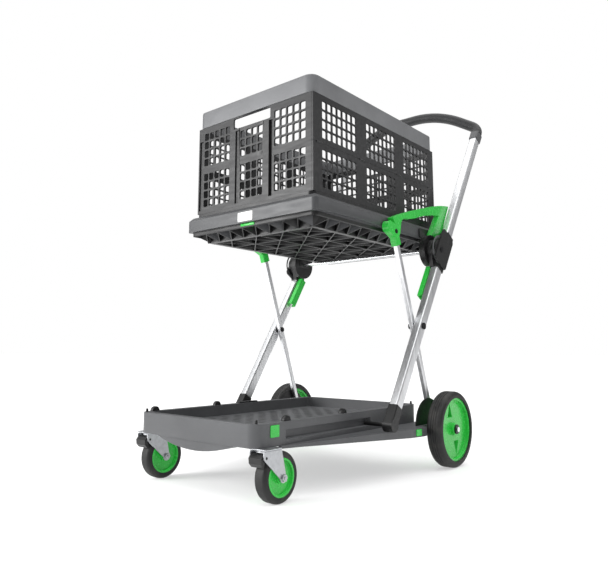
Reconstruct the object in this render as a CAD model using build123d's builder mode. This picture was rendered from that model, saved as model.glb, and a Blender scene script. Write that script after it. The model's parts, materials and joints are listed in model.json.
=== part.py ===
"""Folding two-level shopping cart with a lift-off crate.

Millimetres, +Z up, wheels on Z = 0, castors towards -Y, handle towards +Y.
The origin is under the middle of the cart's overall box. A place along the cart is
given as its distance behind the front face of the base, and station() turns it into Y.
"""

from build123d import *
from math import asin, atan2, cos, degrees, radians, sin, sqrt, tan
import os

os.makedirs("parts", exist_ok=True)

# ---- driving dimensions ----------------------------------------------------
overall_length = 913.15
front_y = -overall_length / 2

base_length = 584.0
base_half = 178.0
base_low = 103.0
base_high = 146.0
base_corner_r = 26.0
wall = 3.0
rim_width = 17.0
floor_top = 121.0
apron_half = 118.0
apron_drop = 20.0
apron_depth = 46.0
apron_set = 4.0

shelf_top = base_low
shelf_front_half = 184.0
shelf_rear_half = 246.0
shelf_start = 62.0
shelf_wide = 430.0
shelf_end = 503.0
skirt_front_low = 97.5
skirt_rear_low = 82.5
tail_half = 228.0
tail_end = 622.0

axle_at = 601.0
rear_wheel_r = 90.0
rear_hub_r = 75.0
rear_wheel_in = 237.5
rear_wheel_out = 275.5
axle_r = 6.0

castor_x = 172.0
castor_stem_at = 31.0
castor_trail = 29.0
castor_r = 47.5
castor_hub_r = castor_r - 12
castor_width = 28.0
castor_axle_r = 4.0

cross_at = 503.0
cross_z = 337.5
tube_tilt = 33.0
leg_tilt = 19.34
tube_wide = 20.1
tube_deep = 27.0
tube_wall = 1.8
tube_in = 224.3
leg_wide = 11.0
leg_deep = 13.5
leg_wall = 1.5
leg_in = 209.7

leg_pin_z = 112.0
foot_pin_z = 118.0
leg_top_z = 560.0
foot_r = 14.5
pin_r = 4.0
slide_pin_r = 4.5

joint_at = 600.6
joint_z = 535.0
disc_r = 41.0
knuckle_r = 28.0
joint_pin_r = 8.0
upper_tube_top = 922.0
grip_r = 15.0
grip_top_z = 1045.0

deck_front = 140.0
deck_length = 570.0
deck_half = 204.0
deck_low = 541.0
deck_rim_low = 566.0
deck_rim_high = 594.0
deck_lip = 603.0
deck_floor = 587.0
deck_skirt_half = 196.5
rib = 3.0

crate_half = 185.5
crate_length = 541.0
crate_front = 154.5
crate_low = 587.5
crate_high = 875.0
crate_band = 25.0
crate_rim_height = 42.0
crate_wall = 4.5
hole_wide = 14.0
hole_high = 16.5
hole_pitch = 19.0
hole_rise = 22.0

crate_r = 14.0
crate_rim_r = 22.0
crate_set = 2.0
hole_columns = 7
hole_rows = 4
field_pitch = 172.0
end_field_pitch = 118.0
end_row_gap = 52.0
grip_hole_wide = 120.0
grip_hole_high = 26.0

lever_wide = 13.0
lever_deep = 20.0
lever_skin = 2.5
lever_gap = 4.0
lever_length = 92.0
lever_head = 12.0
lever_boss_r = 5.0
cap_length = 26.0
grip_bend = 28.0
grip_corner_r = 36.0
grip_bow_r = 300.0

rib_columns = 4
under_inset = 30.0
frame_band = 12.0
skirt_edge = 7.0
gusset_lean = 52.0
rib_rows = 6
latch_wide = 46.0
latch_low = 569.0
latch_high = 21.0
latch_depth = 8.0
latch_proud = 1.5
latch_travel = 4.0
rod_r = 5.0
disc_in = 207.2
disc_out = 222.2

arm_top = ((411.0, 592.0), (458.0, 609.5), (520.0, 628.5), (595.0, 650.0), (654.0, 664.0), (704.0, 671.0))
arm_heel = ((654.0, 580.0), (628.0, 556.0), (601.0, 576.0), (646.0, 635.5))
arm_under = ((646.0, 635.5), (552.0, 618.0), (489.0, 601.0), (452.0, 589.0), (447.0, 573.0), (441.0, 553.0))

clear = 0.3
running = 0.05

SIDES = (("left", 1), ("right", -1))


def station(behind_front):
    """Y of a place that lies this far behind the front face of the base."""
    return front_y + behind_front


def slanted(at, z, tilt, across):
    """Plane across a tube that leans back by tilt degrees, through a point on its line."""
    lean = (0, sin(radians(tilt)), cos(radians(tilt)))
    return Plane(origin=(across, station(at), z), x_dir=(1, 0, 0), z_dir=lean)


def upright(x):
    """Plane facing +X at this x, with Y and Z as its own two directions."""
    return Plane.YZ.offset(x)


def keep(piece, name):
    piece.label = name
    export_step(piece, f"parts/{name}.step")


# ---- the scissor frame's working points -------------------------------------
def on_tube(z):
    return cross_at + (z - cross_z) * tan(radians(tube_tilt))


def on_leg(z):
    return cross_at - (z - cross_z) * tan(radians(leg_tilt))


foot_at = on_tube(foot_pin_z)
leg_pin_at = on_leg(leg_pin_z)
leg_top_at = on_leg(leg_top_z)
tube_mid = tube_in + tube_wide / 2
tube_out = tube_in + tube_wide
leg_mid = leg_in + leg_wide / 2
leg_out = leg_in + leg_wide
foot_travel = 272.0
track_front = 143.0
track_rear = 433.0
track_rise = 4.6
slot_rise = 8.6

# ---- base ---------------------------------------------------------------------
base_mid_y = station(base_length / 2)
tray_inner_half = base_half - rim_width
tray_inner_length = base_length - 2 * rim_width
with BuildPart() as base_tray:
    with BuildSketch(Plane.XY.offset(base_low)):
        with Locations((0, base_mid_y)):
            RectangleRounded(2 * base_half, base_length, base_corner_r)
    extrude(amount=base_high - base_low)
    # the load floor's well
    with BuildSketch(Plane.XY.offset(floor_top)):
        with Locations((0, base_mid_y)):
            RectangleRounded(2 * tray_inner_half, tray_inner_length, base_corner_r - 8)
    extrude(amount=base_high - floor_top + 1, mode=Mode.SUBTRACT)
    # hollow under the floor
    with BuildSketch(Plane.XY.offset(base_low - 1)):
        with Locations((0, base_mid_y)):
            RectangleRounded(2 * (tray_inner_half - wall), tray_inner_length - 2 * wall, base_corner_r - 10)
    extrude(amount=floor_top - wall - base_low + 1, mode=Mode.SUBTRACT)
    # hollow side rims that the foot pins slide in, closed at the top and open outwards
    slot_front = foot_at - foot_travel - 2 * slide_pin_r
    slot_back = foot_at + 2 * slide_pin_r
    slot_low = foot_pin_z - slide_pin_r - 0.8
    slot_high = foot_pin_z + slide_pin_r + slot_rise
    for side, sx in SIDES:
        with BuildSketch(upright(sx * (base_half + 1))):
            with Locations((station((slot_front + slot_back) / 2), (slot_low + slot_high) / 2)):
                Rectangle(slot_back - slot_front, slot_high - slot_low)
        extrude(amount=-sx * (rim_width - wall + 1), mode=Mode.SUBTRACT)
    # shelf beside the tray, widening towards the rear wheels
    for side, sx in SIDES:
        with BuildSketch(Plane.XY.offset(shelf_top)):
            with BuildLine():
                Polyline(
                    (sx * (base_half - wall), station(shelf_start)),
                    (sx * shelf_front_half, station(shelf_start)),
                    (sx * shelf_rear_half, station(shelf_wide)),
                    (sx * shelf_rear_half, station(shelf_end)),
                    (sx * tail_half, station(shelf_end)),
                    (sx * tail_half, station(tail_end)),
                    (sx * (base_half - wall), station(tail_end)),
                    close=True,
                )
            make_face()
        extrude(amount=-(shelf_top - skirt_rear_low))
    # hollow under the shelves, and their edge that drops towards the rear
    for side, sx in SIDES:
        with BuildSketch(Plane.XY.offset(skirt_rear_low - 1)):
            with BuildLine():
                Polyline(
                    (sx * (base_half - wall - 1), station(shelf_start + wall)),
                    (sx * (shelf_front_half - wall), station(shelf_start + wall)),
                    (sx * (shelf_rear_half - wall), station(shelf_wide)),
                    (sx * (shelf_rear_half - wall), station(shelf_end - wall)),
                    (sx * (base_half - wall - 1), station(shelf_end - wall)),
                    close=True,
                )
            make_face()
        extrude(amount=shelf_top - wall - skirt_rear_low + 1, mode=Mode.SUBTRACT)
        with BuildSketch(upright(sx * (base_half - wall - 2))):
            with BuildLine():
                Polyline(
                    (station(shelf_start - 2), skirt_rear_low - 2),
                    (station(shelf_start - 2), skirt_front_low + 1),
                    (station(shelf_start + 40), skirt_front_low),
                    (station(shelf_end - 20), skirt_rear_low),
                    (station(shelf_end - 20), skirt_rear_low - 2),
                    close=True,
                )
            make_face()
        extrude(amount=sx * (shelf_rear_half - base_half + wall + 4), mode=Mode.SUBTRACT)
    # bulging lip under the front edge, between the castors
    with BuildSketch(Plane.XZ.offset(-station(apron_set))):
        with BuildLine():
            ThreePointArc((-apron_half, base_low), (0, base_low - apron_drop), (apron_half, base_low))
            Line((apron_half, base_low), (-apron_half, base_low))
        make_face()
    extrude(amount=-apron_depth)
    with BuildSketch(Plane.XZ.offset(-station(apron_set + wall))):
        with BuildLine():
            inside = apron_half - 6 * wall
            ThreePointArc((-inside, base_low), (0, base_low - apron_drop + wall), (inside, base_low))
            Line((inside, base_low), (-inside, base_low))
        make_face()
    extrude(amount=-apron_depth, mode=Mode.SUBTRACT)
    # bores for the rear axle in the two tails
    with BuildSketch(upright(-base_half - 60)):
        with Locations((station(axle_at), rear_wheel_r)):
            Circle(axle_r + running)
    extrude(amount=2 * base_half + 120, mode=Mode.SUBTRACT)
keep(base_tray.part, "base_tray")

# half-moon ears that hold the legs' lower pins
ear_at = 555.0
ear_r = 62.0
ear_thick = 2.5
ear_in = leg_out + 0.4
for side, sx in SIDES:
    with BuildPart() as ear:
        with BuildSketch(upright(sx * ear_in)):
            with Locations((station(ear_at), shelf_top)):
                Circle(ear_r)
            with Locations((station(ear_at), shelf_top - ear_r / 2)):
                Rectangle(2 * ear_r, ear_r, mode=Mode.SUBTRACT)
            with Locations((station(leg_pin_at), leg_pin_z)):
                Circle(pin_r + running, mode=Mode.SUBTRACT)
        extrude(amount=sx * ear_thick)
    keep(ear.part, f"leg_ear_{side}")

# coloured inserts at the front and rear of both sides
insert_thick = 2.0
insert_front = (36.0, 24.0, 120.0, 22.0)
insert_rear = (452.0, 24.0, skirt_rear_low + 3.5, 15.0)
with BuildPart() as inserts:
    for side, sx in SIDES:
        for (at, length, low, high), face in ((insert_front, base_half), (insert_rear, shelf_rear_half)):
            with BuildSketch(upright(sx * face)):
                with Locations((station(at + length / 2), low + high / 2)):
                    RectangleRounded(length, high, 2)
            extrude(amount=sx * insert_thick)
keep(inserts.part, "side_inserts")

# ---- rear axle and wheels -------------------------------------------------------
axle_z = rear_wheel_r
cap_thick = 3.0
with BuildPart() as rear_axle:
    with BuildSketch(upright(-rear_wheel_out - cap_thick)):
        with Locations((station(axle_at), axle_z)):
            Circle(axle_r)
    extrude(amount=2 * (rear_wheel_out + cap_thick))
keep(rear_axle.part, "rear_axle")

hub_face = rear_wheel_out - 4
hub_back = rear_wheel_in + 3
web_in = rear_wheel_in + 14
web_out = rear_wheel_out - 12
boss_r = 15.0
hub_rim = 6.0
for side, sx in SIDES:
    centre = Plane(origin=(0, station(axle_at), axle_z), x_dir=(0, 1, 0), z_dir=(sx, 0, 0))
    with BuildPart() as rear_hub:
        with BuildSketch(centre.offset(hub_back)):
            Circle(rear_hub_r - running)
        extrude(amount=hub_face - hub_back)
        with BuildSketch(centre.offset(hub_face)):
            Circle(rear_hub_r - hub_rim)
            Circle(boss_r, mode=Mode.SUBTRACT)
        extrude(amount=web_out - hub_face, mode=Mode.SUBTRACT)
        with BuildSketch(centre.offset(hub_back)):
            Circle(rear_hub_r - hub_rim)
            Circle(boss_r, mode=Mode.SUBTRACT)
        extrude(amount=web_in - hub_back, mode=Mode.SUBTRACT)
        with BuildSketch(centre.offset(hub_back - 1)):
            Circle(axle_r + running)
        extrude(amount=hub_face - hub_back + 2, mode=Mode.SUBTRACT)
        # two pointed windows through the web
        with BuildSketch(centre.offset(web_in)):
            with PolarLocations(0.56 * rear_hub_r, 2, start_angle=110):
                Triangle(a=34, b=34, c=24)
        extrude(amount=web_out - web_in, mode=Mode.SUBTRACT)
    keep(rear_hub.part, f"rear_hub_{side}")
    with BuildPart() as rear_tyre:
        with BuildSketch(centre.offset(rear_wheel_in)):
            Circle(rear_wheel_r)
            Circle(rear_hub_r, mode=Mode.SUBTRACT)
        extrude(amount=rear_wheel_out - rear_wheel_in)
        tread = rear_tyre.edges().filter_by(GeomType.CIRCLE).sort_by(SortBy.RADIUS)[-2:]
        fillet(tread, radius=7)
    keep(rear_tyre.part, f"rear_tyre_{side}")

with BuildPart() as axle_caps:
    for side, sx in SIDES:
        centre = Plane(origin=(0, station(axle_at), axle_z), x_dir=(0, 1, 0), z_dir=(sx, 0, 0))
        with BuildSketch(centre.offset(rear_wheel_out - 3.5)):
            Circle(axle_r + 5)
            Circle(axle_r + running, mode=Mode.SUBTRACT)
        extrude(amount=cap_thick + 1)
keep(axle_caps.part, "axle_caps")

# ---- castors ----------------------------------------------------------------------
fork_in = castor_width / 2 + 2.2
fork_thick = 2.5
fork_top = 99.0
fork_plate = 3.0
stem_r = 6.0
plate_half = 23.0
castor_at = castor_stem_at + castor_trail
pedal_pin_at = castor_stem_at - 17
pedal_pin_z = 88.0
fork_ahead = 24.0
fork_behind = 24.0
fork_lip = 13.0
for side, sx in SIDES:
    cx = sx * castor_x
    stem_y = station(castor_stem_at)
    with BuildPart() as castor_plate:
        with BuildSketch(Plane.XY.offset(base_low - 2.5)):
            with Locations((cx, stem_y)):
                RectangleRounded(2 * plate_half, 2 * plate_half, 6)
        extrude(amount=2.5)
        with BuildSketch(Plane.XY.offset(fork_top - fork_plate - 2.5)):
            with Locations((cx, stem_y)):
                Circle(stem_r)
        extrude(amount=base_low - 1 - (fork_top - fork_plate - 2.5))
        with BuildSketch(Plane.XY.offset(fork_top - fork_plate - 2.8)):
            with Locations((cx, stem_y)):
                Circle(stem_r + 4)
        extrude(amount=2.5)
    keep(castor_plate.part, f"castor_plate_{side}")
    with BuildPart() as fork:
        with BuildSketch(Plane.XY.offset(fork_top - fork_plate)):
            with Locations((cx, stem_y)):
                Circle(fork_in + fork_thick)
            with Locations((cx, stem_y + 10)):
                Rectangle(2 * (fork_in + fork_thick), 22)
            with Locations((cx, stem_y)):
                Circle(stem_r + running, mode=Mode.SUBTRACT)
        extrude(amount=fork_plate)
        for cheek in (-1, 1):
            with BuildSketch(upright(cx + cheek * fork_in)):
                with BuildLine():
                    Polyline(
                        (station(castor_stem_at - fork_ahead), fork_top),
                        (station(castor_stem_at + fork_behind), fork_top),
                        (station(castor_at + 8), castor_r),
                        (station(castor_at - 8), castor_r - 2),
                        (station(castor_stem_at - fork_ahead), fork_top - fork_lip),
                        close=True,
                    )
                make_face()
                with Locations((station(castor_at), castor_r)):
                    Circle(9)
                    Circle(castor_axle_r + running, mode=Mode.SUBTRACT)
                with Locations((station(pedal_pin_at), pedal_pin_z)):
                    Circle(2.5 + running, mode=Mode.SUBTRACT)
            extrude(amount=cheek * fork_thick)
    keep(fork.part, f"castor_fork_{side}")
    centre = Plane(origin=(cx, station(castor_at), castor_r), x_dir=(0, 1, 0), z_dir=(1, 0, 0))
    with BuildPart() as castor_hub:
        with BuildSketch(centre.offset(-castor_width / 2)):
            Circle(castor_hub_r - running)
        extrude(amount=castor_width)
        for face in (-1, 1):
            with BuildSketch(centre.offset(face * castor_width / 2)):
                Circle(castor_hub_r - 4)
                Circle(11, mode=Mode.SUBTRACT)
            extrude(amount=-face * 6, mode=Mode.SUBTRACT)
        with BuildSketch(centre.offset(-castor_width / 2)):
            Circle(castor_axle_r + running)
        extrude(amount=castor_width, mode=Mode.SUBTRACT)
    keep(castor_hub.part, f"castor_hub_{side}")
    with BuildPart() as castor_tyre:
        with BuildSketch(centre.offset(-castor_width / 2)):
            Circle(castor_r)
            Circle(castor_hub_r, mode=Mode.SUBTRACT)
        extrude(amount=castor_width)
        fillet(castor_tyre.edges().filter_by(GeomType.CIRCLE).sort_by(SortBy.RADIUS)[-2:], radius=6)
    keep(castor_tyre.part, f"castor_tyre_{side}")
    bolt_half = fork_in + fork_thick
    with BuildPart() as castor_axle:
        with BuildSketch(centre.offset(-bolt_half - 4)):
            Circle(castor_axle_r)
        extrude(amount=2 * bolt_half + 8)
        for face in (-1, 1):
            with BuildSketch(centre.offset(face * bolt_half)):
                RegularPolygon(7, 6)
            extrude(amount=face * 4)
    keep(castor_axle.part, f"castor_axle_{side}")
    pedal_half = fork_in - clear
    with BuildPart() as pedal:
        with BuildSketch(upright(cx - pedal_half)):
            with BuildLine():
                Polyline(
                    (station(pedal_pin_at - 6), pedal_pin_z + 5),
                    (station(pedal_pin_at + 4), pedal_pin_z + 5),
                    (station(pedal_pin_at + 5), pedal_pin_z - 3),
                    (station(pedal_pin_at - 2), pedal_pin_z - 9),
                    (station(pedal_pin_at - 4), pedal_pin_z - 18),
                    (station(pedal_pin_at - 11), pedal_pin_z - 11),
                    (station(pedal_pin_at - 12), pedal_pin_z - 1),
                    close=True,
                )
            make_face()
        extrude(amount=2 * pedal_half)
        with BuildSketch(upright(cx - fork_in - fork_thick)):
            with Locations((station(pedal_pin_at), pedal_pin_z)):
                Circle(2.5)
        extrude(amount=2 * (fork_in + fork_thick))
    keep(pedal.part, f"brake_pedal_{side}")

# ---- thin legs -----------------------------------------------------------------------
leg_length = (leg_top_z - leg_pin_z) / cos(radians(leg_tilt))
for side, sx in SIDES:
    lower = slanted(leg_pin_at, leg_pin_z, -leg_tilt, sx * leg_mid)
    with BuildPart() as leg:
        with BuildSketch(lower):
            RectangleRounded(leg_wide, leg_deep, 2)
            RectangleRounded(leg_wide - 2 * leg_wall, leg_deep - 2 * leg_wall, 1, mode=Mode.SUBTRACT)
        extrude(amount=leg_length - 12)
        with BuildSketch(upright(sx * leg_in)):
            with Locations((station(leg_pin_at), leg_pin_z)):
                Circle(leg_deep / 2)
        extrude(amount=sx * leg_wide)
        for at, z in ((leg_pin_at, leg_pin_z), (cross_at, cross_z)):
            with BuildSketch(upright(sx * (leg_in - 1))):
                with Locations((station(at), z)):
                    Circle(pin_r + running)
            extrude(amount=sx * (leg_wide + 2), mode=Mode.SUBTRACT)
    keep(leg.part, f"leg_{side}")

# green block on each leg's top, with the roller that carries the deck's edge
block_in = 207.2
block_out = 222.6
block_r = 16.0
nose_at = leg_top_at - 24
nose_z = leg_top_z + 8
nose_r = 14.0
roller_r = deck_rim_low - clear - leg_top_z
for side, sx in SIDES:
    up = slanted(leg_top_at, leg_top_z, -leg_tilt, sx * (block_in + block_out) / 2)
    with BuildPart() as block:
        with BuildSketch(upright(sx * block_in)):
            with Locations((station(leg_top_at), leg_top_z)):
                Circle(block_r)
            with Locations((station(nose_at), nose_z)):
                Circle(nose_r)
            make_hull()
        extrude(amount=sx * (block_out - block_in))
        with BuildSketch(up.offset(-34)):
            RectangleRounded(block_out - block_in, leg_deep + 9, 2)
        extrude(amount=34)
        # socket for the leg's end
        with BuildSketch(slanted(leg_top_at, leg_top_z, -leg_tilt, sx * leg_mid).offset(-36)):
            RectangleRounded(leg_wide + 2 * running, leg_deep + 2 * running, 2)
        extrude(amount=24 + running, mode=Mode.SUBTRACT)
        with BuildSketch(upright(sx * (deck_skirt_half + 1.5))):
            with Locations((station(leg_top_at), leg_top_z)):
                Circle(roller_r)
        extrude(amount=sx * (block_in - deck_skirt_half - 1))
    keep(block.part, f"leg_block_{side}")

# pins and bolts of the scissor frame, all fast to the legs
with BuildPart() as leg_bolts:
    for side, sx in SIDES:
        for at, z, start, end in (
            (leg_pin_at, leg_pin_z, leg_in, ear_in + ear_thick),
            (cross_at, cross_z, leg_in, tube_out + 0.4),
        ):
            with BuildSketch(upright(sx * (start - 3))):
                with Locations((station(at), z)):
                    Circle(pin_r)
            extrude(amount=sx * (end - start + 3))
            with BuildSketch(upright(sx * (start - 3))):
                with Locations((station(at), z)):
                    Circle(pin_r + 3)
            extrude(amount=sx * 3)
        with BuildSketch(upright(sx * (tube_out + 0.4))):
            with Locations((station(cross_at), cross_z)):
                Circle(pin_r + 4)
        extrude(amount=sx * 3)
        with BuildSketch(upright(sx * leg_out)):
            with Locations((station(cross_at), cross_z)):
                Circle(pin_r + 4)
        extrude(amount=sx * (tube_in - leg_out - clear))
keep(leg_bolts.part, "leg_bolts")

# ---- folding joint at the top of each lower tube ----------------------------------------
# the joint's own pin lies ahead of the tube's line by this much
tilt = radians(tube_tilt)
reach_y = joint_at - foot_at
reach_z = joint_z - foot_pin_z
joint_along = reach_y * sin(tilt) + reach_z * cos(tilt)
joint_ahead = reach_z * sin(tilt) - reach_y * cos(tilt)
knuckle_split = (tube_in + tube_out) / 2
housing_in = tube_in - 1.6
housing_out = tube_out + 1.6
socket_gap = knuckle_r + 3.0
lower_tube_end = joint_along - socket_gap - 3
shell_deep = tube_deep + 6
cover_thick = 4.0


# ---- lower handle tubes ---------------------------------------------------------------
socket_length = 44.0
for side, sx in SIDES:
    foot = slanted(foot_at, foot_pin_z, tube_tilt, sx * tube_mid)
    with BuildPart() as lower_tube:
        with BuildSketch(foot.offset(8)):
            RectangleRounded(tube_wide, tube_deep, 4)
            RectangleRounded(tube_wide - 2 * tube_wall, tube_deep - 2 * tube_wall, 2.5, mode=Mode.SUBTRACT)
        extrude(amount=lower_tube_end - 8)
        with BuildSketch(upright(sx * (tube_in - 1))):
            with Locations((station(cross_at), cross_z)):
                Circle(pin_r + running)
        extrude(amount=sx * (tube_wide + 2), mode=Mode.SUBTRACT)
    keep(lower_tube.part, f"lower_tube_{side}")
    with BuildPart() as foot_socket:
        with BuildSketch(foot):
            RectangleRounded(tube_wide + 4, tube_deep + 2, 4)
        extrude(amount=socket_length)
        with BuildSketch(upright(sx * (tube_in - 2))):
            with Locations((station(foot_at), foot_pin_z)):
                Circle(foot_r)
        extrude(amount=sx * (tube_wide + 4))
        with BuildSketch(foot.offset(8)):
            RectangleRounded(tube_wide + 2 * running, tube_deep + 2 * running, 4)
        extrude(amount=socket_length, mode=Mode.SUBTRACT)
        # pin that slides in the base's side slot
        with BuildSketch(upright(sx * (base_half - rim_width + wall + 4))):
            with Locations((station(foot_at), foot_pin_z)):
                Circle(slide_pin_r)
        extrude(amount=sx * (tube_in - 2 - (base_half - rim_width + wall + 4)))
    keep(foot_socket.part, f"foot_socket_{side}")

tube_rounding = 4.0
lower_sleeve = 14.0
upper_sleeve = 38.0
tube_seat = 12.0
cover_reach = 18.0
cover_wide = joint_ahead + shell_deep / 2 + cover_reach
cover_middle = (joint_ahead + cover_reach - shell_deep / 2) / 2
cover_long = 98.0
cover_rise = 11.0
cover_corner_r = 9.0
cover_notch_r = 6.0
down_ahead = (0, -cos(tilt), sin(tilt))
tube_bore = (tube_wide + 2 * running, tube_deep + 2 * running)


def tube_line(sx, beyond_foot, across=tube_mid):
    """Plane across the handle's tube on one side, this far up the tube from the foot's pin."""
    return slanted(foot_at, foot_pin_z, tube_tilt, sx * across).offset(beyond_foot)


def tongue(sx, low, high, x):
    """Flat web between a knuckle and the tube's sleeve, from low to high along the tube."""
    web_plane = Plane(
        origin=(sx * x, station(foot_at), foot_pin_z),
        x_dir=down_ahead,
        z_dir=(1, 0, 0),
    )
    with BuildSketch(web_plane, mode=Mode.PRIVATE) as web:
        with BuildLine():
            Polyline(
                (joint_ahead + knuckle_r, -joint_along),
                (joint_ahead - knuckle_r, -joint_along),
                (-shell_deep / 2, -joint_along - low),
                (-shell_deep / 2, -joint_along - high),
                (shell_deep / 2, -joint_along - high),
                (joint_ahead + knuckle_r, -joint_along - low / 3),
                close=True,
            )
        make_face()
    return web.sketch


housing_mid = (housing_in + housing_out) / 2
lever_pin_along = joint_along - disc_r - lever_head / 2 + 2
lever_pin_y = station(foot_at) + lever_pin_along * sin(tilt)
lever_pin_z = foot_pin_z + lever_pin_along * cos(tilt)
upper_tube_start = joint_along + socket_gap + tube_seat
for side, sx in SIDES:
    with BuildPart() as joint_housing:
        with BuildSketch(tube_line(sx, joint_along - socket_gap - lower_sleeve, housing_mid)):
            RectangleRounded(housing_out - housing_in, shell_deep, 3)
        extrude(amount=lower_sleeve)
        with BuildSketch(upright(sx * housing_in)):
            with Locations((station(joint_at), joint_z)):
                Circle(knuckle_r)
        inner_layer = sx * (knuckle_split - clear / 2 - housing_in)
        extrude(amount=inner_layer)
        extrude(tongue(sx, -socket_gap, -socket_gap - lower_sleeve, housing_in), amount=inner_layer)
        with BuildSketch(upright(sx * (housing_in - 1))):
            with Locations((station(joint_at), joint_z)):
                Circle(joint_pin_r + running)
        extrude(amount=sx * (housing_out - housing_in), mode=Mode.SUBTRACT)
        with BuildSketch(tube_line(sx, joint_along - 2 * disc_r)):
            RectangleRounded(*tube_bore, tube_rounding)
        extrude(amount=lower_tube_end + running - (joint_along - 2 * disc_r), mode=Mode.SUBTRACT)
    keep(joint_housing.part, f"joint_housing_{side}")
    with BuildPart() as handle_joint:
        with BuildSketch(tube_line(sx, joint_along + socket_gap, housing_mid)):
            RectangleRounded(housing_out - housing_in, shell_deep, 3)
        extrude(amount=upper_sleeve)
        with BuildSketch(upright(sx * (knuckle_split + clear / 2))):
            with Locations((station(joint_at), joint_z)):
                Circle(knuckle_r)
        outer_layer = sx * (housing_out - knuckle_split - clear / 2)
        extrude(amount=outer_layer)
        extrude(
            tongue(sx, socket_gap, socket_gap + upper_sleeve, knuckle_split + clear / 2),
            amount=outer_layer,
        )
        # outer cover over the whole joint
        cover_in = housing_out + clear
        with BuildSketch(upright(sx * housing_out)):
            with Locations((station(joint_at), joint_z)):
                Circle(knuckle_r - 2)
        extrude(amount=sx * clear)
        cover_foot = (sx * cover_in, station(foot_at), foot_pin_z)
        with BuildSketch(Plane(origin=cover_foot, x_dir=down_ahead, z_dir=(1, 0, 0))):
            with Locations((cover_middle, -joint_along - cover_rise)):
                RectangleRounded(cover_wide, cover_long, cover_corner_r)
            # thumb notch in the upper edge
            with Locations((cover_middle, -joint_along - cover_rise - cover_long / 2)):
                Circle(cover_notch_r, mode=Mode.SUBTRACT)
        extrude(amount=sx * cover_thick)
        with BuildSketch(tube_line(sx, joint_along + socket_gap, housing_out)):
            Rectangle(4, shell_deep - 2)
        extrude(amount=upper_sleeve)
        with BuildSketch(upright(sx * (housing_in - 1))):
            with Locations((station(joint_at), joint_z)):
                Circle(joint_pin_r + running)
        extrude(amount=sx * (housing_out - housing_in + 1), mode=Mode.SUBTRACT)
        with BuildSketch(tube_line(sx, upper_tube_start - running)):
            RectangleRounded(*tube_bore, tube_rounding)
        extrude(amount=2 * disc_r, mode=Mode.SUBTRACT)
    keep(handle_joint.part, f"handle_joint_{side}")

    # green release lever on the tube's inner side, turning on a boss against the sleeve
    lever_across = tube_in - lever_gap - lever_wide / 2
    with BuildPart() as lever:
        with BuildSketch(tube_line(sx, lever_pin_along + lever_head / 2 - lever_length, lever_across)):
            RectangleRounded(lever_wide, lever_deep, 1.5)
            with Locations((sx * lever_skin, 0)):
                Rectangle(lever_wide, lever_deep - 2 * lever_skin, mode=Mode.SUBTRACT)
        extrude(amount=lever_length)
        with BuildSketch(tube_line(sx, lever_pin_along - lever_head / 2, lever_across)):
            RectangleRounded(lever_wide, lever_deep, 1.5)
        extrude(amount=lever_head)
        with BuildSketch(upright(sx * (tube_in - lever_gap - 1))):
            with Locations((lever_pin_y, lever_pin_z)):
                Circle(lever_boss_r)
        extrude(amount=sx * (housing_in - clear - (tube_in - lever_gap - 1)))
    keep(lever.part, f"release_lever_{side}")

# upper tubes and their bowed grip
upper_tube_end = (upper_tube_top - foot_pin_z) / cos(tilt)
for side, sx in SIDES:
    with BuildPart() as upper_tube:
        with BuildSketch(tube_line(sx, upper_tube_start)):
            RectangleRounded(tube_wide, tube_deep, tube_rounding)
            RectangleRounded(tube_wide - 2 * tube_wall, tube_deep - 2 * tube_wall, 2.5, mode=Mode.SUBTRACT)
        extrude(amount=upper_tube_end - upper_tube_start)
    keep(upper_tube.part, f"upper_tube_{side}")
    with BuildPart() as grip_cap:
        with BuildSketch(tube_line(sx, upper_tube_end - cap_length)):
            RectangleRounded(tube_wide + 6, tube_deep + 5, 6)
        extrude(amount=cap_length + 3)
        with BuildSketch(tube_line(sx, upper_tube_end - cap_length - 1)):
            RectangleRounded(*tube_bore, tube_rounding)
        extrude(amount=cap_length + 1 + running, mode=Mode.SUBTRACT)
    keep(grip_cap.part, f"grip_cap_{side}")

grip_start = upper_tube_end + 3


def on_grip_axis(beyond_foot):
    """Y and Z on the tubes' line, this far up from the foot's pin."""
    return (
        station(foot_at) + beyond_foot * sin(tilt),
        foot_pin_z + beyond_foot * cos(tilt),
    )


start_y, start_z = on_grip_axis(grip_start)
bend_y, bend_z = on_grip_axis(grip_start + grip_bend)
with BuildPart() as handle_grip:
    with BuildLine():
        FilletPolyline(
            (tube_mid, start_y, start_z),
            (tube_mid, bend_y, bend_z),
            (0.45 * tube_mid, bend_y - 8, grip_top_z - grip_r - 5),
            (-0.45 * tube_mid, bend_y - 8, grip_top_z - grip_r - 5),
            (-tube_mid, bend_y, bend_z),
            (-tube_mid, start_y, start_z),
            radius=[grip_corner_r, grip_bow_r, grip_bow_r, grip_corner_r],
        )
    with BuildSketch(tube_line(1, grip_start)):
        Circle(grip_r)
    sweep()
keep(handle_grip.part, "handle_grip")

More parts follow.
